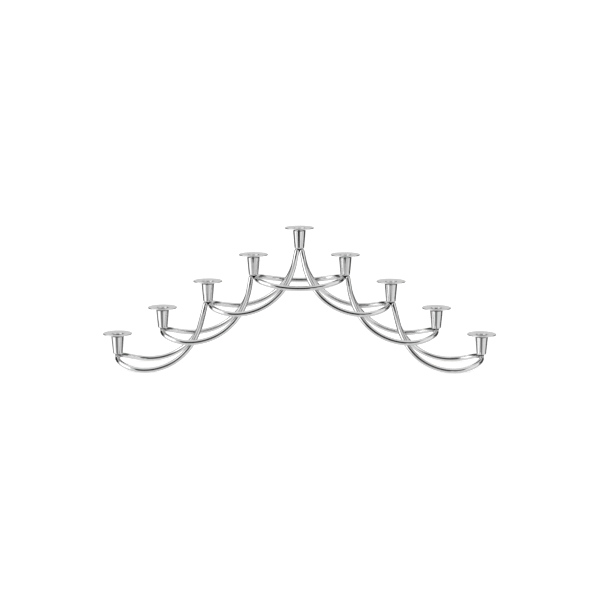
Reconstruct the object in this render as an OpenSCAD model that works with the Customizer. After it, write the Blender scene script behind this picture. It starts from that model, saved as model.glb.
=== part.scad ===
// Nine-light menorah: nine candle cups on seven bent-rod loops that step up to the middle
// cup and down again. Each side loop starts under one cup, dips, and climbs through the
// next loop to end under the cup after it. X runs along the row of cups, Z is up, and the
// origin is on the table under the middle cup.

/* [Arrangement] */
// Distance between neighbouring cups along the row
cup_pitch = 45.7; // [45.5:0.1:46]
// Height gained from each cup to the next one in
cup_step = 26.8; // [26.6:0.1:27]

/* [Rod loops] */
// Diameter of the round rod
rod_d = 5; // [4.6:0.1:5]
// Half-width of the outermost side loops, to the rod's centre
outer_loop_half = 28.7; // [28.5:0.1:28.8]
// Half-width of the second side loops
second_loop_half = 27.7; // [27.6:0.1:27.7]
// Half-width of the inner side loops
inner_loop_half = 26.4; // [26.4:0.1:26.5]
// Half-width of the level middle loop
mid_loop_half = 26.9; // [26.9:0.1:28]
// How far the outermost loops dip below their lower cup, to the rod's centre
outer_sag = 10.6; // [10.4:0.1:10.8]
// How far the second loops dip
second_sag = 9.6; // [9.5:0.1:9.7]
// How far the inner loops dip
inner_sag = 8.2; // [8:0.1:8.2]
// How far the middle loop dips
mid_sag = 9.1; // [8.9:0.1:9.3]
// Angle off the vertical at which the outermost loops reach their upper cup, in degrees
outer_lean = 14; // [13:0.5:15]
// Angle at which the second loops reach their upper cup
second_lean = 9.5; // [8.5:0.5:10.5]
// Angle at which the inner loops reach the middle cup
inner_lean = 11.5; // [10.5:0.5:12.5]
// Bluntness of a loop's rounded end, 2 being an ellipse
nose_power = 2.5; // [2.4:0.1:2.6]
// Share of a side loop's length that its rounded end takes
nose_share = 0.31; // [0.3:0.01:0.31]
// How late the two legs of a side loop close up, 1 being evenly
taper_power = 2; // [1.9:0.05:2]

/* [Candle cups] */
// Height of a cup
cup_h = 18.6; // [18:0.1:22]
// Diameter of a cup at its top
cup_top_d = 12.7; // [12.5:0.1:13.2]
// Diameter of a cup just above its rounded foot
cup_foot_d = 9.5; // [9:0.1:11]
// Radius of the rounding round a cup's foot
cup_foot_round = 1.5; // [0.8:0.1:2]
// Radius of the rounding round a cup's top
cup_top_round = 0.8; // [0.3:0.1:0.8]
// Diameter of the candle socket
socket_d = 9.8; // [9.4:0.1:9.8]
// Height of the socket's floor above the cup's foot
socket_floor = 9.5; // [9:0.5:12]

/* [Drip pans] */
// Diameter of a drip pan
pan_d = 29.2; // [26:0.2:34]
// Thickness of a pan's sheet
pan_t = 1.1; // [0.9:0.1:1.4]
// Height of a pan's rim above its cup's top
pan_rise = 2.8; // [2.6:0.1:6]
// Depth that a pan's neck goes into its cup
neck_depth = 4; // [3:0.1:5]
// Thickness of the neck's wall
neck_wall = 0.4; // [0.35:0.05:0.4]
// Radial clearance of the neck in the cup
neck_gap = 0.05; // [0.02:0.01:0.08]

/* [Hidden] */
steel = "lightgray";
weld_steel = "darkgray";
$fn = 96;
rod_r = rod_d / 2;
rod_sides = 12;
nose_rings = 9;
taper_rings = 15;
mid_rings = 48;
weld_samples = 160;
// Half the distance between two rods that lie side by side, with a hair between them
side_by_side = rod_r + 0.05;
// A rod's rounded end stays this far under the cup it carries
end_gap = 0.05;
cap_angles = [25, 50, 75];
mid_cup = 5;
// Height of the outermost cups' feet over the table
low_foot_z = outer_sag + rod_r;
loop_halves = [outer_loop_half, second_loop_half, inner_loop_half];
loop_sags = [outer_sag, second_sag, inner_sag];
loop_leans = [outer_lean, second_lean, inner_lean];
seat_r = socket_d / 2 + neck_wall + neck_gap;
weld_r = 1.6;
cup_weld_h = 1.6;

// Place of a cup's foot: cups are numbered 1 to 9 from the left
function foot(n) = [(n - mid_cup) * cup_pitch, 0, low_foot_z + (mid_cup - 1 - abs(n - mid_cup)) * cup_step];

function unit(v) = v / norm(v);

// Line of a side loop in X and Z, from point a to point b: round an arc that dips to a lowest
// height low, then straight up at an angle lean off the vertical.
// Returns [arc centre, radius, angle of a, angle where the straight starts, straight's length],
// the angles being from straight down towards +X.
function bent_line(a, b, low, lean) =
    let (
        top = 90 - lean,
        drop = a.y - low,
        reach = b.x - a.x - (b.y - low) / tan(top),
        t = tan(top / 2),
        m = reach * t + drop,
        radius = (m - sqrt(m * m - t * t * (reach * reach + drop * drop))) / (t * t),
        centre = [a.x + sqrt(2 * radius * drop - drop * drop), low + radius]
    )
    [centre, radius, atan2(a.x - centre.x, centre.y - a.y), top,
        (b.y - low - radius * (1 - cos(top))) / sin(top)];

// Point on an arc at an angle, with width y
function on_arc(arc, angle, y) = [arc[0].x + arc[1] * sin(angle), y, arc[0].y - arc[1] * cos(angle)];

// Point at a share of a bent line's length, with width y
function on_line(line, share, y) =
    let (
        arc_length = line[1] * (line[3] - line[2]) * PI / 180,
        run = share * (arc_length + line[4]),
        past = max(run - arc_length, 0),
        angle = line[2] + min(run, arc_length) / line[1] * 180 / PI
    )
    on_arc(line, angle, y) + past * [cos(angle), 0, sin(angle)];

// Blunt end of a side loop: [share of length, half-width] at angle u from 0 to 90
function nose(u, half) = [nose_share * (1 - pow(cos(u), 2 / nose_power)), half * pow(sin(u), 2 / nose_power)];

// Closing legs of a side loop: [share of length, half-width] at v from 0 to 1
function legs(v, half) = [
    nose_share + (1 - nose_share) * v,
    side_by_side + (half - side_by_side) * (1 + cos(180 * pow(v, taper_power))) / 2
];

// One leg of a side loop, from its blunt end to where it stops under a cup
function one_leg(half, nose_n, taper_n) = concat(
    [for (i = [1:nose_n]) nose(90 * i / nose_n, half)],
    [for (i = [1:taper_n]) legs(i / taper_n, half)]
);

// Line of the left-hand side loop that starts under cup n, which is 1, 2 or 3
function side_line(n) =
    let (
        low_cup = foot(n),
        high_cup = foot(n + 2),
        start_x = low_cup.x + (n > 2 ? side_by_side : 0)
    )
    bent_line([start_x, low_cup.z - rod_r], [high_cup.x - side_by_side, high_cup.z - rod_r - end_gap],
        low_cup.z - loop_sags[n - 1], loop_leans[n - 1]);

// Level arc of the middle loop: [centre, radius, angle of its ends]
function mid_arc() =
    let (
        half = -foot(mid_cup - 1).x - side_by_side,
        drop = mid_sag - rod_r,
        radius = (half * half + drop * drop) / (2 * drop)
    )
    [[0, foot(mid_cup - 1).z - mid_sag + radius], radius, asin(half / radius)];

function leg_path(n, nose_n, taper_n, side) =
    let (line = side_line(n))
    [for (p = one_leg(loop_halves[n - 1], nose_n, taper_n)) on_line(line, p[0], side * p[1])];

function reversed(list) = [for (i = [len(list) - 1:-1:0]) list[i]];

// Whole centre line of a side loop, from one end round to the other
function side_path(n) =
    concat(reversed(leg_path(n, nose_rings, taper_rings, -1)), [on_line(side_line(n), 0, 0)],
        leg_path(n, nose_rings, taper_rings, 1));

function signed_pow(x, p) = sign(x) * pow(abs(x), p);

// Closed centre line of the middle loop, which has a rounded end under cups 4 and 6
function mid_path(rings) =
    let (arc = mid_arc())
    [for (i = [0:rings - 1])
        let (u = 360 * i / rings, angle = arc[2] * signed_pow(cos(u), 2 / nose_power))
        on_arc(arc, angle, mid_loop_half * signed_pow(sin(u), 2 / nose_power))];

// The point midway between two centre lines where they come closest
function meeting(path_a, path_b) =
    let (
        nearest = [for (p = path_a) min([for (q = path_b) norm(p - q)])],
        least = min(nearest),
        p = path_a[search(least, nearest)[0]],
        gaps = [for (q = path_b) norm(p - q)],
        q = path_b[search(min(gaps), gaps)[0]]
    )
    (p + q) / 2;

// One ring of points round a rod. The frame is [along, up, across]; an angle of 0 gives the
// rod's full girth, other angles a ring on the dome beyond the place.
function domed_ring(place, angle, frame) = [
    for (k = [0:rod_sides - 1])
        let (turn = 360 * k / rod_sides)
        place + rod_r * sin(angle) * frame[0]
            + rod_r * cos(angle) * (cos(turn) * frame[1] + sin(turn) * frame[2])
];

// Round rod along a path that curves round the line through centre along Y. An open rod's
// ends are domed.
module rod(path, centre, closed) {
    last = len(path) - 1;
    frames = [
        for (i = [0:last])
            let (
                before = path[closed ? (i + last) % (last + 1) : max(i - 1, 0)],
                after = path[closed ? (i + 1) % (last + 1) : min(i + 1, last)],
                along = unit(after - before),
                across = unit(cross(along, [path[i].x - centre.x, 0, path[i].z - centre.y]))
            )
            [along, cross(across, along), across]
    ];
    caps = closed ? [] : cap_angles;
    rings = concat(
        [for (a = reversed(caps)) domed_ring(path[0], -a, frames[0])],
        [for (i = [0:last]) domed_ring(path[i], 0, frames[i])],
        [for (a = caps) domed_ring(path[last], a, frames[last])]
    );
    n = len(rings);
    sides = [
        for (i = [0:closed ? n - 1 : n - 2])
            for (k = [0:rod_sides - 1])
                let (
                    next_k = (k + 1) % rod_sides,
                    here = i * rod_sides,
                    there = ((i + 1) % n) * rod_sides
                )
                for (face = [
                    [here + k, there + k, here + next_k],
                    [here + next_k, there + k, there + next_k]
                ])
                    face
    ];
    ends = closed ? [] : [
        [for (k = [0:rod_sides - 1]) k],
        [for (k = [rod_sides - 1:-1:0]) (n - 1) * rod_sides + k]
    ];
    polyhedron([for (r = rings, p = r) p], concat(sides, ends), convexity = 8);
}

module side_loop(n) {
    color(steel) rod(side_path(n), side_line(n)[0], false);
}

module mirrored_loop(n) {
    mirror([1, 0, 0]) side_loop(n);
}

module middle_loop() {
    color(steel) rod(mid_path(mid_rings), mid_arc()[0], true);
}

module cup(n) {
    foot_r = cup_foot_d / 2;
    top_r = cup_top_d / 2;
    color(steel) translate(foot(n)) difference() {
        rotate_extrude() polygon(concat(
            [[0, 0]],
            [for (a = [0:15:90]) [
                foot_r - cup_foot_round * (1 - sin(a)),
                cup_foot_round * (1 - cos(a))
            ]],
            [for (a = [0:15:90]) [
                top_r - cup_top_round * (1 - cos(a)),
                cup_h - cup_top_round * (1 - sin(a))
            ]],
            [[0, cup_h]]
        ));
        translate([0, 0, socket_floor]) cylinder(h = cup_h, d = socket_d);
        translate([0, 0, cup_h - neck_depth]) cylinder(h = cup_h, r = seat_r);
    }
}

// Flared dish on a short neck, the neck's foot resting on the step inside the cup
module drip_pan(n) {
    bore_r = socket_d / 2;
    neck_r = bore_r + neck_wall;
    rim_r = pan_d / 2;
    flare_z = 0.4;
    under_h = pan_rise - pan_t - flare_z;
    lip_r = bore_r + pan_t * 0.8;
    color(steel) translate(foot(n) + [0, 0, cup_h]) difference() {
        rotate_extrude() polygon(concat(
            [[0, -neck_depth], [neck_r, -neck_depth]],
            [for (a = [0:9:90]) [
                neck_r + (rim_r - pan_t / 2 - neck_r) * (1 - cos(a)),
                flare_z + under_h * pow(sin(a), 0.8)
            ]],
            [for (a = [-60:30:60]) [
                rim_r - pan_t / 2 + pan_t / 2 * cos(a),
                pan_rise - pan_t / 2 + pan_t / 2 * sin(a)
            ]],
            [for (a = [90:-9:0]) [
                lip_r + (rim_r - pan_t / 2 - lip_r) * (1 - cos(a)),
                flare_z + pan_t + under_h * pow(sin(a), 0.8)
            ]],
            [[bore_r, flare_z + pan_t * 0.6], [0, flare_z + pan_t * 0.6]]
        ));
        translate([0, 0, -neck_depth - 1]) cylinder(h = neck_depth + pan_rise + 2, r = bore_r);
    }
}

// Filler metal between each cup's foot and the rods under it
module cup_welds() {
    color(weld_steel) for (n = [1:9]) {
        shared = n > 2 && n < 8;
        translate(foot(n) - [0, 0, cup_weld_h])
            cylinder(h = cup_weld_h, r1 = shared ? 2.2 : 1.6, r2 = shared ? 3.2 : 2.6);
    }
}

// Beads where each loop touches the next one that it climbs through
module crossing_welds() {
    lines = [for (n = [1:3]) leg_path(n, weld_samples, weld_samples, 1)];
    mid_line = [for (p = mid_path(4 * weld_samples)) if (p.y > 0) p];
    beads = [
        meeting(lines[0], lines[1]),
        meeting(lines[1], lines[2]),
        meeting([for (p = lines[2]) if (p.x < 0) p], [for (p = mid_line) if (p.x < 0) p])
    ];
    color(weld_steel) for (bead = beads, x_side = [-1, 1], y_side = [-1, 1])
        translate([x_side * bead.x, y_side * bead.y, bead.z]) sphere(r = weld_r);
}

for (n = [1:9]) {
    cup(n);
    drip_pan(n);
}
side_loop(1);  // loop_1_3
side_loop(2);  // loop_2_4
side_loop(3);  // loop_3_5
middle_loop();  // loop_4_6
mirrored_loop(3);  // loop_5_7
mirrored_loop(2);  // loop_6_8
mirrored_loop(1);  // loop_7_9
cup_welds();
crossing_welds();
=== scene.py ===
from math import acos, asin, atan2, ceil, cos, pi, radians, sin, sqrt, tan

import bpy
import numpy as np
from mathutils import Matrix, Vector


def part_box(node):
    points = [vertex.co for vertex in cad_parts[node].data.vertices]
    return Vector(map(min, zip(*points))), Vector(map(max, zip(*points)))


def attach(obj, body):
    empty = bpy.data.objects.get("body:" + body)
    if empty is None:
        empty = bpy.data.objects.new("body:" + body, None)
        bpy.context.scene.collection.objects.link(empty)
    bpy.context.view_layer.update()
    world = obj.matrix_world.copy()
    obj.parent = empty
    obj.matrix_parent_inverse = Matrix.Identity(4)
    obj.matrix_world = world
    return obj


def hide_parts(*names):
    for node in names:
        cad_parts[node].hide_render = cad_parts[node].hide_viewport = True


# Menorah for nine candles: bent-rod loops, turned cups and spun drip pans in stainless steel.
# Metres throughout; a length given in millimetres is multiplied by mm.

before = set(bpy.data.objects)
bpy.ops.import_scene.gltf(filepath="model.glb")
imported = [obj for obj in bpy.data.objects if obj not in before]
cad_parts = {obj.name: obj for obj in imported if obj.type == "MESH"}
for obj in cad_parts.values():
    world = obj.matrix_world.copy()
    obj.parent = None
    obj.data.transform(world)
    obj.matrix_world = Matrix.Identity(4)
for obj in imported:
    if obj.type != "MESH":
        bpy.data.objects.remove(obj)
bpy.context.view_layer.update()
mm = 0.001
cupNumbers = range(1, 10)
print("frame loaded,", len(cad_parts), "nodes")


def hexColour(code):
    # sRGB hex to the linear colour that the shader sockets take
    channels = [int(code[i:i + 2], 16) / 255 for i in (1, 3, 5)]
    linear = [c / 12.92 if c <= 0.04045 else ((c + 0.055) / 1.055) ** 2.4 for c in channels]
    return (*linear, 1.0)


def addNode(tree, kind, settings=None, inputs=None):
    # an input is a plain value, or another node's output to link from
    node = tree.nodes.new("ShaderNode" + kind)
    for name, value in (settings or {}).items():
        setattr(node, name, value)
    for name, value in (inputs or {}).items():
        if isinstance(value, bpy.types.NodeSocket):
            tree.links.new(value, node.inputs[name])
        else:
            node.inputs[name].default_value = value
    return node


# Camera and studio first

studio = {
    "aim": (0.6 * mm, 0.0, 68.46 * mm),  # what the camera looks at
    "cameraDistance": 1.5,
    "cameraElevation": 9.855,  # degrees above the table
    "cameraAzimuth": 0.573,  # degrees towards +X
    "lens": 90,  # mm
    "sensorWidth": 36,  # mm
    "floorSize": 12.0,
    "floorColour": "#F4F4F3",
    "floorGlow": 0.6,  # a lit white table, so that it stays as pale as the wall
    "tableFront": 0.33,  # the edge of the table in the reflections, in front of the object
    "tableHalfWidth": 1.0,
    "tableColour": "#CCCCCC",
    "tableVeil": (0.3, 0.85),  # how much of its own grey the table shows: close by, and near its edge
    "veilThickens": (0.17, 0.24),  # between these distances in front of the object
    "wallLight": 0.82,  # where no panel is, in the reflections
    "backdropLight": 1.2,  # the plain white wall that the camera sees
}


def directionFrom(azimuth, elevation):
    # azimuth 0 is in front of the object, and +90 is at +X
    a, e = radians(azimuth), radians(elevation)
    return Vector((sin(a) * cos(e), -cos(a) * cos(e), sin(e)))


def placeCamera():
    toCamera = directionFrom(studio["cameraAzimuth"], studio["cameraElevation"])
    data = bpy.data.cameras.new("studioCamera")
    data.lens = studio["lens"]
    data.sensor_width = studio["sensorWidth"]
    data.clip_end = 50
    camera = bpy.data.objects.new("studioCamera", data)
    camera.location = Vector(studio["aim"]) + toCamera * studio["cameraDistance"]
    camera.rotation_euler = (-toCamera).to_track_quat("-Z", "Y").to_euler()
    bpy.context.scene.collection.objects.link(camera)
    bpy.context.scene.camera = camera


def layFloor():
    half = studio["floorSize"] / 2
    mesh = bpy.data.meshes.new("paleTable")
    mesh.from_pydata([(-half, -half, 0), (half, -half, 0), (half, half, 0), (-half, half, 0)], [], [(0, 1, 2, 3)])
    material = bpy.data.materials.new("satin white acrylic table")  # even and pale, lit from inside
    material.use_nodes = True
    tree = material.node_tree
    shader = tree.nodes["Principled BSDF"]
    colour = hexColour(studio["floorColour"])
    shader.inputs["Base Color"].default_value = colour
    shader.inputs["Roughness"].default_value = 0.6
    shader.inputs["Specular IOR Level"].default_value = 0.2
    shader.inputs["Emission Color"].default_value = colour
    shader.inputs["Emission Strength"].default_value = studio["floorGlow"]
    mesh.materials.append(material)
    floor = bpy.data.objects.new("paleTable", mesh)
    floor.visible_glossy = False  # reflections see the card below, and the studio round it
    bpy.context.scene.collection.objects.link(floor)


def layReflectedTable():
    # what the steel sees of the table in front: past its edge the studio shows unveiled
    front, half = -studio["tableFront"], studio["tableHalfWidth"]
    near, far = studio["veilThickens"]
    thin, thick = studio["tableVeil"]
    mesh = bpy.data.meshes.new("reflectedTable")
    mesh.from_pydata([(-half, front, 0), (half, front, 0), (half, 0, 0), (-half, 0, 0)], [], [(0, 1, 2, 3)])
    material = bpy.data.materials.new("glossy white acrylic table")  # a soft grey veil in the lower cups
    material.use_nodes = True
    tree = material.node_tree
    tree.nodes.clear()
    glow = addNode(tree, "Emission", inputs={"Color": hexColour(studio["tableColour"]), "Strength": 1.0})
    place = addNode(tree, "SeparateXYZ", inputs={"Vector": addNode(tree, "TexCoord").outputs["Object"]})
    share = addNode(tree, "MapRange", {"interpolation_type": "SMOOTHSTEP"}, {
        "Value": place.outputs["Y"], "From Min": -near, "From Max": -far, "To Min": thin, "To Max": thick})
    clear = addNode(tree, "BsdfTransparent")
    veil = addNode(tree, "MixShader", inputs={0: share.outputs["Result"], 1: clear.outputs[0], 2: glow.outputs[0]})
    addNode(tree, "OutputMaterial", inputs={"Surface": veil.outputs[0]})
    mesh.materials.append(material)
    table = bpy.data.objects.new("reflectedTable", mesh)
    table.visible_camera = False
    table.visible_diffuse = False
    table.visible_shadow = False
    bpy.context.scene.collection.objects.link(table)


# Each panel of the studio: where it is seen from the object, its size in degrees, how soft its
# edge is, and how bright it is. Later panels cover earlier ones.
panels = [
    {"name": "grey behind", "azimuth": 180, "elevation": 14, "width": 90, "height": 70, "soft": 30, "light": 0.72},
    {"name": "low grey behind", "azimuth": 180, "elevation": -18, "width": 110, "height": 40, "soft": 20,
     "light": 0.32},
    {"name": "left softbox", "azimuth": -67, "elevation": 12, "width": 50, "height": 70, "soft": 8, "light": 1.7},
    {"name": "right softbox rim", "azimuth": 55, "elevation": 10, "width": 90, "height": 86, "soft": 6, "light": 0.45},
    {"name": "right softbox", "azimuth": 54, "elevation": 10, "width": 76, "height": 72, "soft": 8, "light": 0.98},
    {"name": "dark behind left", "azimuth": -128, "elevation": 8, "width": 50, "height": 56, "soft": 16, "light": 0.03},
    {"name": "dark behind right", "azimuth": 122, "elevation": 5, "width": 56, "height": 56, "soft": 16, "light": 0.05},
    {"name": "grey over the gap", "azimuth": 0, "elevation": 46, "width": 60, "height": 30, "soft": 16, "light": 0.34},
    {"name": "dark gap in front", "azimuth": -10, "elevation": 5, "width": 38, "height": 66, "soft": 4, "light": 0.005},
    {"name": "dark gap, upper right", "azimuth": 8, "elevation": 22, "width": 42, "height": 36, "soft": 4,
     "light": 0.005},
]


def lightStudio():
    world = bpy.data.worlds.new("softStudio")
    world.use_nodes = True
    tree = world.node_tree
    tree.nodes.clear()
    direction = addNode(tree, "TexCoord").outputs["Generated"]
    light = studio["wallLight"]
    for panel in panels:
        # turn the view so that the panel's middle lies along +Y
        turned = addNode(tree, "VectorRotate", {"rotation_type": "Z_AXIS"},
                         {"Vector": direction, "Angle": radians(180 - panel["azimuth"])})
        tipped = addNode(tree, "VectorRotate", {"rotation_type": "X_AXIS"},
                         {"Vector": turned.outputs[0], "Angle": radians(-panel["elevation"])})
        axes = addNode(tree, "SeparateXYZ", inputs={"Vector": tipped.outputs[0]})
        edges = []
        for axis, size in (("X", panel["width"]), ("Z", panel["height"])):
            angle = addNode(tree, "Math", {"operation": "ARCTAN2"}, {0: axes.outputs[axis], 1: axes.outputs["Y"]})
            away = addNode(tree, "Math", {"operation": "ABSOLUTE"}, {0: angle.outputs[0]})
            edge = addNode(tree, "MapRange", {"interpolation_type": "SMOOTHSTEP"}, {
                "Value": away.outputs[0], "From Min": radians((size + panel["soft"]) / 2),
                "From Max": radians((size - panel["soft"]) / 2)})
            edges.append(edge.outputs["Result"])
        mask = addNode(tree, "Math", {"operation": "MULTIPLY"}, {0: edges[0], 1: edges[1]})
        light = addNode(tree, "Mix", {"data_type": "FLOAT", "label": panel["name"]}, {
            "Factor": mask.outputs[0], "A": light, "B": panel["light"]}).outputs["Result"]
    toCamera = addNode(tree, "LightPath").outputs["Is Camera Ray"]
    shown = addNode(tree, "Mix", {"data_type": "FLOAT"}, {
        "Factor": toCamera, "A": light, "B": studio["backdropLight"]})
    glow = addNode(tree, "Background", inputs={"Color": (1, 1, 1, 1), "Strength": shown.outputs["Result"]})
    addNode(tree, "OutputWorld", inputs={"Surface": glow.outputs[0]})
    bpy.context.scene.world = world


placeCamera()
layFloor()
layReflectedTable()
lightStudio()
bpy.context.scene.view_settings.view_transform = "Standard"
print("camera, table and studio light set")


# Steel finishes. Every piece carries a "grain" attribute in millimetres: x runs along the rod or
# along the turned profile, and y and z go round it. A weld's grain is just its place.

def grainNoise(tree, scale, roughness=0.5, detail=3.0):
    # noise stretched by scale, in cycles per millimetre along and around
    grain = addNode(tree, "Attribute", {"attribute_name": "grain"})
    stretched = addNode(tree, "VectorMath", {"operation": "MULTIPLY"}, {0: grain.outputs["Vector"], 1: scale})
    return addNode(tree, "TexNoise", inputs={
        "Vector": stretched.outputs[0], "Scale": 1.0, "Detail": detail, "Roughness": roughness}).outputs["Fac"]


def brightSteel(name, finish):
    material = bpy.data.materials.new(name)
    material.use_nodes = True
    tree = material.node_tree
    shader = tree.nodes["Principled BSDF"]
    shader.inputs["Metallic"].default_value = 1.0
    marks = grainNoise(tree, finish["markScale"])
    haze = grainNoise(tree, finish["hazeScale"], detail=2.0)
    tint = addNode(tree, "Mix", {"data_type": "RGBA"}, {
        "Factor": haze, "A": hexColour(finish["light"]), "B": hexColour(finish["dark"])})
    tree.links.new(tint.outputs[2], shader.inputs["Base Color"])
    # rougher where marks and haze are both strong
    both = addNode(tree, "Math", {"operation": "MULTIPLY"}, {0: marks, 1: haze})
    rough = addNode(tree, "MapRange", inputs={
        "Value": both.outputs[0], "From Min": 0.12, "From Max": 0.42,
        "To Min": finish["roughness"][0], "To Max": finish["roughness"][1]})
    tree.links.new(rough.outputs["Result"], shader.inputs["Roughness"])
    bump = addNode(tree, "Bump", inputs={
        "Height": marks, "Strength": finish["bumpStrength"], "Distance": finish["bumpHeight"] * mm})
    tree.links.new(bump.outputs[0], shader.inputs["Normal"])
    return material


# Drawn rod, bent and then buffed lengthwise: a clear mirror with faint streaks along it.
# Real streaks are about 0.1 mm apart; they are drawn 0.4 mm apart so that they show.
rodSteel = brightSteel("buffed stainless steel rod", {
    "light": "#EEEEEE", "dark": "#DFDFE0", "roughness": (0.01, 0.04),
    "markScale": (0.04, 2.4, 2.4), "hazeScale": (0.06, 0.25, 0.25), "bumpStrength": 0.05, "bumpHeight": 0.01})
# Turned on a lathe and polished: a mirror with very fine rings round it, 0.3 mm apart
cupSteel = brightSteel("turned and polished stainless steel", {
    "light": "#ECECEC", "dark": "#DBDBDC", "roughness": (0.03, 0.09),
    "markScale": (3.3, 0.02, 0.02), "hazeScale": (0.2, 0.15, 0.15), "bumpStrength": 0.15, "bumpHeight": 0.01})
# Bored and left as cut: duller, with plain tool rings 0.4 mm apart
boreSteel = brightSteel("bored stainless steel", {
    "light": "#CACACB", "dark": "#AAAAAC", "roughness": (0.22, 0.38),
    "markScale": (2.5, 0.02, 0.02), "hazeScale": (0.4, 0.3, 0.3), "bumpStrength": 0.5, "bumpHeight": 0.03})
# Spun from sheet and burnished: bright but softer, with burnishing rings 0.5 mm apart
panSteel = brightSteel("spun and burnished stainless steel", {
    "light": "#EAEAEA", "dark": "#D7D7D8", "roughness": (0.10, 0.20),
    "markScale": (2.0, 0.03, 0.03), "hazeScale": (0.25, 0.12, 0.12), "bumpStrength": 0.2, "bumpHeight": 0.012})
# The pans' undersides, spun but not burnished: a satin, painted dark grey as the shade under the pan, that the cup's
# shoulder mirrors, with tool rings 0.5 mm apart
shadedUndersideSteel = brightSteel("spun stainless steel, unburnished", {
    "light": "#858587", "dark": "#6A6A6C", "roughness": (0.36, 0.50),
    "markScale": (2.0, 0.03, 0.03), "hazeScale": (0.25, 0.12, 0.12), "bumpStrength": 0.3, "bumpHeight": 0.02})
# Filler metal, dressed by hand after welding: a soft satin with low ripples 0.7 mm apart
weldSteel = brightSteel("dressed stainless steel weld", {
    "light": "#C7C7C8", "dark": "#A0A0A2", "roughness": (0.18, 0.34),
    "markScale": (1.4, 1.4, 1.4), "hazeScale": (0.5, 0.5, 0.5), "bumpStrength": 0.4, "bumpHeight": 0.05})
# Filler deep in the corner under a cup, which no polishing wheel reaches: dull, and painted near-black as the shade in
# that corner, with patches about 1 mm across that differ in tone
brazeWithPaintedShade = brightSteel("unpolished braze in the corner under a cup", {
    "light": "#242425", "dark": "#141414", "roughness": (0.40, 0.58),
    "markScale": (1.6, 1.6, 1.6), "hazeScale": (0.6, 0.6, 0.6), "bumpStrength": 0.5, "bumpHeight": 0.05})
print("steel finishes made")


grainApart = {"loop": 400, "cup": 60, "pan": 90}  # mm along the grain, so that no two pieces match


def newPiece(name, points, faces, materials, grain, place=(0, 0, 0), materialOf=None):
    # points and place in millimetres
    mesh = bpy.data.meshes.new(name)
    mesh.from_pydata([tuple(float(c) * mm for c in p) for p in points], [], faces)
    for material in materials:
        mesh.materials.append(material)
    mesh.polygons.foreach_set("use_smooth", [True] * len(mesh.polygons))
    if materialOf:
        mesh.polygons.foreach_set("material_index", materialOf)
    attribute = mesh.attributes.new("grain", "FLOAT_VECTOR", "POINT")
    attribute.data.foreach_set("vector", np.asarray(grain, np.float32).ravel())
    mesh.validate()
    mesh.update()
    piece = bpy.data.objects.new(name, mesh)
    piece.location = Vector(place) * mm
    bpy.context.scene.collection.objects.link(piece)
    return piece


# Rod loops

loopShape = {
    "rodRadius": 2.5,
    "sideBySide": 2.55,  # half the distance between two rods that lie together
    "endGap": 0.05,  # domed end to the foot of the cup above it
    "halfWidth": {1: 28.7, 2: 27.7, 3: 26.4, 4: 26.9},  # by the cup that the loop starts under
    "sag": {1: 10.6, 2: 9.6, 3: 8.2, 4: 9.1},
    "lean": {1: 14, 2: 9.5, 3: 11.5},  # degrees off the vertical where a side loop ends
    "nosePower": 2.5,
    "noseShare": 0.31,
    "taperPower": 2.0,
    "legSamples": 1500,
    "middleSamples": 4000,
    "easing": 8,  # rounds of smoothing
    "ringSpacing": 1.1,
    "domeAngles": (87, 78, 68, 57, 46, 35, 23, 12, 0),  # rings of a domed end, from its tip
    "sides": 28,
}


def footOf(number):
    low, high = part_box(f"cup_{number}")
    return np.array([(low[0] + high[0]) / 2, (low[1] + high[1]) / 2, low[2]]) / mm


feet = {number: footOf(number) for number in cupNumbers}


def bentLine(a, b, lowest, lean):
    # in X and Z: an arc from a that dips to the lowest height, then a straight up to b that
    # leans off the vertical; gives the arc, where it ends, and the straight's length
    top = radians(90 - lean)
    drop = a[1] - lowest
    reach = b[0] - a[0] - (b[1] - lowest) / tan(top)
    tangent = tan(top / 2)
    both = reach * tangent + drop
    radius = (both - sqrt(both ** 2 - tangent ** 2 * (reach ** 2 + drop ** 2))) / tangent ** 2
    centre = np.array([a[0] + sqrt(2 * radius * drop - drop * drop), lowest + radius])
    first = atan2(a[0] - centre[0], centre[1] - a[1])
    return centre, radius, first, top, (b[1] - lowest - radius * (1 - cos(top))) / sin(top)


def onArc(centre, radius, angle, y):
    return np.stack([centre[0] + radius * np.sin(angle), y, centre[1] - radius * np.cos(angle)], axis=-1)


def sideLoop(number):
    # centre line of the loop that starts under a left-hand cup, from one end to the other
    s = loopShape
    low, high, half = feet[number], feet[number + 2], s["halfWidth"][number]
    startX = low[0] + (s["sideBySide"] if number > 2 else 0)  # from cup 3 on, a loop ends beside it
    centre, radius, first, top, straight = bentLine(
        np.array([startX, low[2] - s["rodRadius"]]),
        np.array([high[0] - s["sideBySide"], high[2] - s["rodRadius"] - s["endGap"]]),
        low[2] - s["sag"][number], s["lean"][number])
    # round the nose and then down the leg: the share of the whole run, and the distance from Y = 0
    turn = np.linspace(0, pi / 2, s["legSamples"])
    share = s["noseShare"] * (1 - np.cos(turn) ** (2 / s["nosePower"]))
    width = half * np.sin(turn) ** (2 / s["nosePower"])
    leg = np.linspace(0, 1, s["legSamples"])[1:]
    share = np.append(share, s["noseShare"] + (1 - s["noseShare"]) * leg)
    width = np.append(width, s["sideBySide"] + (half - s["sideBySide"]) * (1 + np.cos(pi * leg ** s["taperPower"])) / 2)
    bend = radius * (top - first)
    run = share * (bend + straight)
    angle = first + np.minimum(run, bend) / radius
    past = np.maximum(run - bend, 0)
    leg = onArc(centre, radius, angle, width)
    leg += np.stack([past * np.cos(angle), 0 * past, past * np.sin(angle)], axis=-1)
    return np.concatenate([leg[:0:-1] * [1, -1, 1], leg]), centre, False


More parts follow.
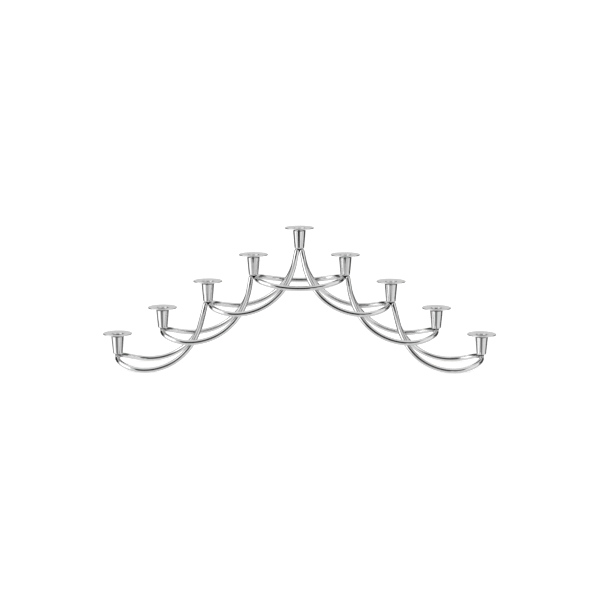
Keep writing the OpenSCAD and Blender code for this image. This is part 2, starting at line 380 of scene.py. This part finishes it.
def middleLoop():
    # closed centre line, with a blunt end under cups 4 and 6
    s = loopShape
    half = -feet[4][0] - s["sideBySide"]
    drop = s["sag"][4] - s["rodRadius"]
    radius = (half ** 2 + drop ** 2) / (2 * drop)
    centre = np.array([0, feet[4][2] - s["sag"][4] + radius])
    turn = np.linspace(0, 2 * pi, s["middleSamples"] + 1)[:-1]
    along = np.sign(np.cos(turn)) * np.abs(np.cos(turn)) ** (2 / s["nosePower"])
    width = s["halfWidth"][4] * np.sign(np.sin(turn)) * np.abs(np.sin(turn)) ** (2 / s["nosePower"])
    return onArc(centre, radius, asin(half / radius) * along, width), centre, True


def evenly(path, closed):
    # respaced at equal steps, then eased so that the bends flow into each other
    whole = np.concatenate([path, path[:1]]) if closed else path
    run = np.append(0, np.cumsum(np.linalg.norm(np.diff(whole, axis=0), axis=1)))
    count = ceil(run[-1] / loopShape["ringSpacing"])
    steps = np.linspace(0, run[-1], count + 1)[:count if closed else None]
    line = np.stack([np.interp(steps, run, whole[:, k]) for k in range(3)], axis=-1)
    for _ in range(loopShape["easing"]):
        eased = (np.roll(line, 1, axis=0) + 2 * line + np.roll(line, -1, axis=0)) / 4
        if not closed:
            eased[0], eased[-1] = line[0], line[-1]
        line = eased
    return line


def unit(v):
    return v / np.linalg.norm(v, axis=-1, keepdims=True)


def rodPiece(name, line, arcCentre, closed, offset):
    s = loopShape
    before, after = np.roll(line, 1, axis=0), np.roll(line, -1, axis=0)
    if not closed:
        before[0], after[-1] = line[0], line[-1]
    along = unit(after - before)
    outward = line - np.array([arcCentre[0], 0, arcCentre[1]])
    outward[:, 1] = 0
    across = unit(np.cross(along, outward))
    up = np.cross(across, along)
    radii = np.full(len(line), s["rodRadius"])
    centres = line
    run = np.append(0, np.cumsum(np.linalg.norm(np.diff(line, axis=0), axis=1)))
    if not closed:
        steps = [radians(angle) for angle in s["domeAngles"]]
        reachOut = np.array([s["rodRadius"] * sin(a) for a in steps])[:, None]
        domeRadii = [s["rodRadius"] * cos(a) for a in steps]
        centres = np.concatenate([line[0] - reachOut * along[0], line[1:-1], line[-1] + reachOut[::-1] * along[-1]])
        radii = np.concatenate([domeRadii, radii[1:-1], domeRadii[::-1]])
        extra = len(steps) - 1
        repeat = np.concatenate([[0] * extra, np.arange(len(line)), [len(line) - 1] * extra])
        across, up, run = across[repeat], up[repeat], run[repeat]
    sides = s["sides"]
    turn = np.arange(sides) * 2 * pi / sides
    ring = np.cos(turn)[None, :, None] * up[:, None] + np.sin(turn)[None, :, None] * across[:, None]
    points = (centres[:, None] + radii[:, None, None] * ring).reshape(-1, 3)
    count = len(centres)
    faces = []
    for i in range(count if closed else count - 1):
        here, there = i * sides, (i + 1) % count * sides
        faces += [(here + k, there + k, there + (k + 1) % sides, here + (k + 1) % sides) for k in range(sides)]
    if not closed:
        faces += [tuple(range(sides)), tuple(reversed(range((count - 1) * sides, count * sides)))]
    grain = np.stack([np.repeat(run + offset, sides), np.tile(np.cos(turn) * s["rodRadius"], count),
                      np.tile(np.sin(turn) * s["rodRadius"], count)], axis=-1)
    return newPiece(name, points, faces, [rodSteel], grain)


rodLines = {}
for number in range(1, 8):
    mirrored = number > 4
    source = 8 - number if mirrored else number
    path, arcCentre, closed = middleLoop() if source == 4 else sideLoop(source)
    line = evenly(path, closed)
    if mirrored:
        line, arcCentre = line[::-1] * [-1, 1, 1], arcCentre * [-1, 1]
    rodLines[number] = line
    node = f"loop_{number}_{number + 2}"
    rod = rodPiece(node + "_rod", line, arcCentre, closed, grainApart["loop"] * number)
    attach(rod, "stand")
    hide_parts(node)
print("seven rod loops bent")


# Turned and spun pieces

outlinePoints = {
    "onCorner": 7,
    "longStraight": 0.5,  # mm, above which a straight gets extra points
    "nearEnd": 0.12,  # mm from each end to its first and last extra point
    "apart": 1.2,  # mm between the others, at most
}


def roundedOutline(corners):
    # corners are (radius, height, rounding); the extra points keep the shading flat on straights
    s = outlinePoints
    outline = []
    last = len(corners) - 1
    for i, (r, z, rounding) in enumerate(corners):
        here = np.array([r, z])
        if rounding == 0 or i in (0, last):
            outline.append(here)
            continue
        back = unit(np.array(corners[i - 1][:2]) - here)
        ahead = unit(np.array(corners[i + 1][:2]) - here)
        halfAngle = np.arccos(np.clip(back @ ahead, -1, 1)) / 2
        reach = rounding / np.tan(halfAngle)
        centre = here + unit(back + ahead) * rounding / sin(halfAngle)
        a, b = here + back * reach - centre, here + ahead * reach - centre
        for t in np.linspace(0, 1, s["onCorner"]):
            outline.append(centre + rounding * unit(a * (1 - t) + b * t))
    dense = [outline[0]]
    for a, b in zip(outline, outline[1:]):
        length = np.linalg.norm(b - a)
        if length > s["longStraight"]:
            near = min(s["nearEnd"], length / 4)
            inner = ceil((length - 2 * near) / s["apart"])
            stops = [near + (length - 2 * near) * k / inner for k in range(inner + 1)]
            dense += [a + (b - a) * stop / length for stop in stops]
        dense.append(b)
    return np.array(dense)


def lathe(name, outline, materials, place, offset, closed, finishAt, segments=112):
    # the outline turned about Z; an open one starts and ends on the axis. What finishAt says for a
    # radius and height picks from the materials.
    run = np.append(0, np.cumsum(np.linalg.norm(np.diff(outline, axis=0), axis=1)))
    points, grain, rows = [], [], []
    turn = np.arange(segments) * 2 * pi / segments
    for (r, z), distance in zip(outline, run):
        start = len(points)
        if r < 1e-6:
            points.append((0, 0, z))
            grain.append((distance + offset, 0, 0))
            rows.append([start] * segments)
            continue
        points += [(r * cos(t), r * sin(t), z) for t in turn]
        grain += [(distance + offset, r * cos(t), r * sin(t)) for t in turn]
        rows.append(list(range(start, start + segments)))
    faces, materialOf = [], []
    for i in range(len(rows) if closed else len(rows) - 1):
        a, b = rows[i], rows[(i + 1) % len(rows)]
        middle = (outline[i] + outline[(i + 1) % len(rows)]) / 2
        finish = finishAt(*middle)
        for k in range(segments):
            m = (k + 1) % segments
            corners = [a[k], a[m], b[m], b[k]]
            faces.append(tuple(dict.fromkeys(corners)))
            materialOf.append(finish)
    return newPiece(name, points, faces, materials, grain, place, materialOf)


cupShape = {
    "height": 18.6,
    "topRadius": 6.35,
    "footRadius": 4.75,
    "footRounding": 1.5,
    "topRounding": 0.8,
    "socketRadius": 4.9,
    "socketFloor": 9.5,
    "floorRounding": 0.4,
    "seatRadius": 5.35,
    "seatHeight": 14.6,
    "seatEdge": 0.1,
    "mouthEdge": 0.15,
}
finishSlack = 0.05  # mm by which a finish's border clears the faces that it runs along


def cupOutline():
    s = cupShape
    return roundedOutline([
        (0, 0, 0), (s["footRadius"], 0, s["footRounding"]),
        (s["topRadius"], s["height"], s["topRounding"]),
        (s["seatRadius"], s["height"], s["mouthEdge"]), (s["seatRadius"], s["seatHeight"], s["seatEdge"]),
        (s["socketRadius"], s["seatHeight"], s["seatEdge"]),
        (s["socketRadius"], s["socketFloor"], s["floorRounding"]),
        (0, s["socketFloor"], 0)])


def cupFinish(r, z):
    # 1 in the socket and on the pan's seat, 0 elsewhere
    s = cupShape
    return int(z > s["socketFloor"] - finishSlack and r < s["seatRadius"] - finishSlack)


panShape = {
    "rimRadius": 14.6,
    "sheet": 1.1,
    "rise": 2.8,  # rim above the cup's top
    "flareStart": 0.4,
    "neckDepth": 4.0,
    "neckWall": 0.4,
    "neckBevel": 0.1,
    "boreRadius": 4.9,
    "boreTop": 0.9,  # where the bore's finish ends
    "roll": 0.88,  # radius of the roll from the dish into the bore
    "curvePower": 0.8,
    "flarePoints": 26,
    "edgePoints": 13,
    "rollPoints": 7,
    # heights of the extra points that keep the shading of the neck's two walls flat
    "neckStops": (-2, -0.3, 0),
    "boreStops": (0.2, -1, -2.5),
}


def panSizes():
    # radius outside the neck, radius where the rim's edge starts, and the climb between them
    s = panShape
    return s["boreRadius"] + s["neckWall"], s["rimRadius"] - s["sheet"] / 2, s["rise"] - s["sheet"] - s["flareStart"]


def panOutline():
    s = panShape
    neck, reach, climb = panSizes()
    half, bore, bottom, bevel = s["sheet"] / 2, s["boreRadius"], -s["neckDepth"], s["neckBevel"]
    lip = bore + s["roll"]

    def flare(start, height, angles):
        return [(start + (reach - start) * (1 - cos(a)), height + climb * sin(a) ** s["curvePower"]) for a in angles]

    angles = np.linspace(0, pi / 2, s["flarePoints"])
    edge = np.linspace(-pi / 2, pi / 2, s["edgePoints"])[1:-1]
    outline = [(bore, bottom + bevel), (bore + bevel, bottom), (neck - bevel, bottom), (neck, bottom + bevel)]
    outline += [(neck, z) for z in s["neckStops"]]
    outline += flare(neck, s["flareStart"], angles)
    outline += [(reach + half * cos(a), s["rise"] - half + half * sin(a)) for a in edge]
    outline += flare(lip, s["flareStart"] + s["sheet"], angles[::-1])
    outline += [(lip - s["roll"] * sin(a), s["flareStart"] + s["sheet"] - s["roll"] * (1 - cos(a)))
                for a in np.linspace(0, pi / 2, s["rollPoints"])[1:]]
    outline += [(bore, z) for z in s["boreStops"]]
    return np.array(outline)


def panFinish(r, z):
    # 1 in the bore, 2 on the underside, whose dark grey is painted shade, 0 elsewhere
    s = panShape
    neck, reach, climb = panSizes()
    if r < s["boreRadius"] + finishSlack and z < s["boreTop"]:
        return 1
    if z < 0 or not neck < r < reach:
        return 0
    a = acos(1 - (r - neck) / (reach - neck))
    underside = s["flareStart"] + climb * sin(a) ** s["curvePower"]
    return 2 if z < underside + s["sheet"] / 3 else 0


for number in cupNumbers:
    foot = feet[number]
    cup = lathe(f"cup_{number}_turned", cupOutline(), [cupSteel, boreSteel], foot,
                grainApart["cup"] * number, closed=False, finishAt=cupFinish)
    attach(cup, "stand")
    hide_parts(f"cup_{number}")
    top = foot + [0, 0, cupShape["height"]]
    # the undersides' dark grey is painted shade under the pan
    pan = lathe(f"drip_pan_{number}_spun", panOutline(), [panSteel, boreSteel, shadedUndersideSteel], top,
                grainApart["pan"] * number, closed=True, finishAt=panFinish)
    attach(pan, f"pan_{number}")
    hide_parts(f"drip_pan_{number}")
print("nine cups turned and nine drip pans spun")


# Welds. Each is the soft skin that fills the corners between the metals that meet there.

weldShape = {
    "cupBlend": 1.8,  # how far the filler creeps up from a corner
    "cupReach": 2.8,
    "cupCore": 2.4,  # radius of the filler's solid middle, between the rods, which carries the painted shade of that wedge
    "coreDepth": 0.8,  # its centre, below the cup's foot
    "crossingBlend": 1.5,
    "crossingReach": 3.2,
    "leastReach": 0.2,
    "reachStep": 0.1,
    "sink": 0.04,  # below the steel away from the corner, so that only the fillet shows
    "rodNearCup": 8,  # a loop within this of a cup's foot is welded to it
    "rodKept": 12,  # how much of a rod is measured, from the middle of the weld
    "crossingSide": 8,  # loops cross further than this to the front and to the back
    "rows": 28,
    "columns": 48,
}
farOff = 99.0  # mm, for a rod that is nowhere near


def rodField(points, line):
    # distance outside the rod along a centre line, which is first cut to what is near
    near = line[np.linalg.norm(line - points.mean(axis=0), axis=1) < weldShape["rodKept"]]
    if len(near) < 2:
        return np.full(len(points), farOff)
    # four points for each step of the line
    fine = np.concatenate([near[:-1] + (near[1:] - near[:-1]) * t for t in (0, 0.25, 0.5, 0.75)] + [near[-1:]])
    gaps = np.linalg.norm(points[:, None] - fine[None], axis=2)
    return gaps.min(axis=1) - loopShape["rodRadius"]


def footField(points, foot):
    # distance outside a cup's rounded foot
    s = cupShape
    local = points - foot
    slope = (s["topRadius"] - s["footRadius"]) / s["height"]
    radius = s["footRadius"] + slope * np.maximum(local[:, 2], 0)
    half = s["height"] / 2
    q = np.stack([np.hypot(local[:, 0], local[:, 1]) - radius + s["footRounding"],
                  np.abs(local[:, 2] - half) - half + s["footRounding"]], axis=-1)
    return np.hypot(*np.maximum(q, 0).T) + np.minimum(q.max(axis=1), 0) - s["footRounding"]


def softUnion(a, b, blend):
    # the smaller of two distances, rounded off where they are nearly equal
    h = np.maximum(blend - np.abs(a - b), 0) / blend
    return np.minimum(a, b) - h * h * blend / 4


def fillet(start, fields, blend, reach):
    s = weldShape
    rows, columns = s["rows"], s["columns"]
    directions = [(0, 0, 1)]
    for i in range(1, rows):
        tilt = pi * i / rows
        directions += [(sin(tilt) * cos(t), sin(tilt) * sin(t), cos(tilt))
                       for t in np.arange(columns) * 2 * pi / columns]
    directions.append((0, 0, -1))
    directions = np.array(directions)
    steps = np.arange(0, reach + s["reachStep"] / 2, s["reachStep"])
    points = start + directions[:, None] * steps[None, :, None]
    flat = points.reshape(-1, 3)
    total = fields[0](flat)
    for field in fields[1:]:
        total = softUnion(total, field(flat), blend)
    outside = (total + s["sink"]).reshape(len(directions), -1)
    found = []
    for row in outside:
        leaves = np.nonzero(row > 0)[0]
        if len(leaves) == 0:
            found.append(reach)
            continue
        i = max(leaves[0], 1)
        found.append(steps[i - 1] + s["reachStep"] * row[i - 1] / min(row[i - 1] - row[i], -1e-9))
    found = np.clip(found, s["leastReach"], reach)
    skin = start + directions * found[:, None]
    faces = []
    for k in range(columns):
        m = (k + 1) % columns
        faces.append((0, 1 + k, 1 + m))
        for i in range(rows - 2):
            a, b = 1 + i * columns, 1 + (i + 1) * columns
            faces.append((a + k, b + k, b + m, a + m))
        low = 1 + (rows - 2) * columns
        faces.append((low + m, low + k, len(directions) - 1))
    return skin, faces


def nearestLines(place):
    near = weldShape["rodNearCup"]
    return [line for line in rodLines.values() if np.linalg.norm(line - place, axis=1).min() < near]


def weldPiece(name, node, skins, material):
    points, faces = [], []
    for skin, own in skins:
        faces += [tuple(len(points) + index for index in face) for face in own]
        points += list(skin)
    weld = newPiece(name, points, faces, [material], np.array(points))
    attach(weld, "stand")
    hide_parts(node)


cupSkins = []
for number in cupNumbers:
    foot = feet[number]
    fields = [lambda p, line=line: rodField(p, line) for line in nearestLines(foot)]
    middle = foot - [0, 0, weldShape["coreDepth"]]
    fields += [lambda p, foot=foot: footField(p, foot),
               lambda p, middle=middle: np.linalg.norm(p - middle, axis=1) - weldShape["cupCore"]]
    cupSkins.append(fillet(middle, fields, weldShape["cupBlend"], weldShape["cupReach"]))
# the cup welds' filler is painted near-black as the shade in the corner under each cup
weldPiece("cup_weld_fillets", "cup_welds", cupSkins, brazeWithPaintedShade)

crossingSkins = []
for number in range(1, 7):
    a, b = rodLines[number], rodLines[number + 1]
    for side in (-1, 1):
        ownA, ownB = [line[line[:, 1] * side > weldShape["crossingSide"]] for line in (a, b)]
        gaps = np.linalg.norm(ownA[:, None] - ownB[None], axis=2)
        i, k = np.unravel_index(gaps.argmin(), gaps.shape)
        meeting = (ownA[i] + ownB[k]) / 2
        fields = [lambda p, line=line: rodField(p, line) for line in (a, b)]
        crossingSkins.append(fillet(meeting, fields, weldShape["crossingBlend"], weldShape["crossingReach"]))
weldPiece("crossing_weld_fillets", "crossing_welds", crossingSkins, weldSteel)
print("welds filled")
